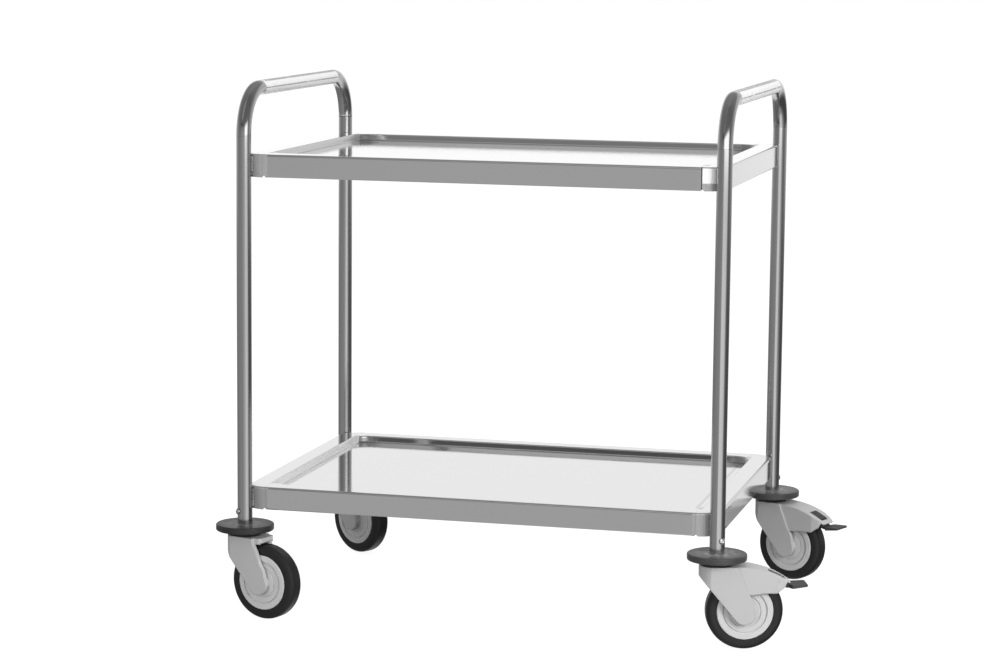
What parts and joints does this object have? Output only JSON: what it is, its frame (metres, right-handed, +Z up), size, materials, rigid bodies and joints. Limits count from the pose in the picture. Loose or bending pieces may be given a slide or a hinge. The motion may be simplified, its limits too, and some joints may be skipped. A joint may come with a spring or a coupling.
{
  "type": "serving trolley",
  "caption": "Stainless serving trolley: tube end frames with bow handles, recessed sheet shelves with aprons, swivel castors with grey forks and foot brakes.",
  "frame": {"origin": "middle of the outline on the floor under the wheels", "axes": "+X along the length towards the braked castors, +Y across the width, +Z up"},
  "size_m": [0.9916, 0.647, 0.891],
  "materials": {
    "handle_steel": "polished bends, satin grip zone",
    "tube_steel": "polished stainless tube",
    "shelf_steel": "satin stainless sheet",
    "inner_steel": "turned",
    "weld_steel": "brushed weld",
    "screw_steel": "polished",
    "zinc_steel": "zinc plated",
    "ball_steel": "polished",
    "bumper_rubber": "matt grey moulding",
    "cap_plastic": "dark moulding",
    "fork_plastic": "light grey moulding",
    "rim_plastic": "light grey moulding",
    "tyre_rubber": "black tread",
    "pedal_plastic": "dark grey moulding"
  },
  "bodies": {
    "frame": {"handle_bow_left": "handle_steel", "handle_bow_right": "handle_steel", "post_fl": "tube_steel", "post_bl": "tube_steel", "post_fr": "tube_steel", "post_br": "tube_steel", "upper_shelf": "shelf_steel", "lower_shelf": "shelf_steel", "seam_rings": "inner_steel", "upper_welds": "weld_steel", "lower_welds": "weld_steel", "clamp_screws": "screw_steel", "stem_fl": "inner_steel", "stem_bl": "inner_steel", "stem_fr": "inner_steel", "stem_br": "inner_steel", "bumper_fl": "bumper_rubber", "bumper_bl": "bumper_rubber", "bumper_fr": "bumper_rubber", "bumper_br": "bumper_rubber", "swivel_cap_fl": "cap_plastic", "swivel_cap_bl": "cap_plastic", "swivel_cap_fr": "cap_plastic", "swivel_cap_br": "cap_plastic"},
    "swivel_fl": {"fork_fl": "fork_plastic", "bearing_race_fl": "zinc_steel", "bearing_balls_fl": "ball_steel", "axle_fl": "zinc_steel", "bush_fl": "zinc_steel"},
    "wheel_fl": {"rim_fl": "rim_plastic", "tyre_fl": "tyre_rubber"},
    "swivel_bl": {"fork_bl": "fork_plastic", "bearing_race_bl": "zinc_steel", "bearing_balls_bl": "ball_steel", "axle_bl": "zinc_steel", "bush_bl": "zinc_steel"},
    "wheel_bl": {"rim_bl": "rim_plastic", "tyre_bl": "tyre_rubber"},
    "swivel_fr": {"fork_fr": "fork_plastic", "bearing_race_fr": "zinc_steel", "bearing_balls_fr": "ball_steel", "axle_fr": "zinc_steel", "bush_fr": "zinc_steel", "pedal_pin_fr": "zinc_steel", "leaf_pin_fr": "zinc_steel"},
    "wheel_fr": {"rim_fr": "rim_plastic", "tyre_fr": "tyre_rubber"},
    "swivel_br": {"fork_br": "fork_plastic", "bearing_race_br": "zinc_steel", "bearing_balls_br": "ball_steel", "axle_br": "zinc_steel", "bush_br": "zinc_steel", "pedal_pin_br": "zinc_steel", "leaf_pin_br": "zinc_steel"},
    "wheel_br": {"rim_br": "rim_plastic", "tyre_br": "tyre_rubber"},
    "pedal_fr": {"pedal_fr": "pedal_plastic"},
    "leaf_fr": {"brake_leaf_fr": "zinc_steel"},
    "pedal_br": {"pedal_br": "pedal_plastic"},
    "leaf_br": {"brake_leaf_br": "zinc_steel"}
  },
  "joints": [
    {"name": "swivel_turn_fl", "type": "hinge", "parent": "frame", "child": "swivel_fl", "pos_m": [-0.4473, -0.275, 0.137], "axis": [0, 0, 1], "continuous": true},
    {"name": "wheel_spin_fl", "type": "hinge", "parent": "swivel_fl", "child": "wheel_fl", "pos_m": [-0.40427, -0.28816, 0.0625], "axis": [0.2924, 0.9563, 0], "continuous": true},
    {"name": "swivel_turn_bl", "type": "hinge", "parent": "frame", "child": "swivel_bl", "pos_m": [-0.4473, 0.275, 0.137], "axis": [0, 0, 1], "continuous": true},
    {"name": "wheel_spin_bl", "type": "hinge", "parent": "swivel_bl", "child": "wheel_bl", "pos_m": [-0.40873, 0.25182, 0.0625], "axis": [0.515, 0.8572, 0], "continuous": true},
    {"name": "swivel_turn_fr", "type": "hinge", "parent": "frame", "child": "swivel_fr", "pos_m": [0.3527, -0.275, 0.137], "axis": [0, 0, 1], "continuous": true},
    {"name": "wheel_spin_fr", "type": "hinge", "parent": "swivel_fr", "child": "wheel_fr", "pos_m": [0.39525, -0.26035, 0.0625], "axis": [-0.3256, 0.9455, 0], "continuous": true},
    {"name": "swivel_turn_br", "type": "hinge", "parent": "frame", "child": "swivel_br", "pos_m": [0.3527, 0.275, 0.137], "axis": [0, 0, 1], "continuous": true},
    {"name": "wheel_spin_br", "type": "hinge", "parent": "swivel_br", "child": "wheel_br", "pos_m": [0.39442, 0.25814, 0.0625], "axis": [0.3746, 0.9272, 0], "continuous": true},
    {"name": "brake_pedal_fr", "type": "hinge", "parent": "swivel_fr", "child": "pedal_fr", "pos_m": [0.44347, -0.24374, 0.113], "axis": [-0.3256, 0.9455, 0], "range_deg": [0, 15]},
    {"name": "brake_leaf_fr", "type": "hinge", "parent": "swivel_fr", "child": "leaf_fr", "pos_m": [0.40943, -0.25547, 0.1276], "axis": [-0.3256, 0.9455, 0], "range_deg": [0, 2.4]},
    {"name": "brake_pedal_br", "type": "hinge", "parent": "swivel_br", "child": "pedal_br", "pos_m": [0.44171, 0.23904, 0.113], "axis": [0.3746, 0.9272, 0], "range_deg": [0, 15]},
    {"name": "brake_leaf_br", "type": "hinge", "parent": "swivel_br", "child": "leaf_br", "pos_m": [0.40833, 0.25252, 0.1276], "axis": [0.3746, 0.9272, 0], "range_deg": [0, 2.4]}
  ],
  "couplings": [
    {"joint": "brake_leaf_fr", "follows": "brake_pedal_fr", "ratio": 0.16},
    {"joint": "brake_leaf_br", "follows": "brake_pedal_br", "ratio": 0.16}
  ]
}
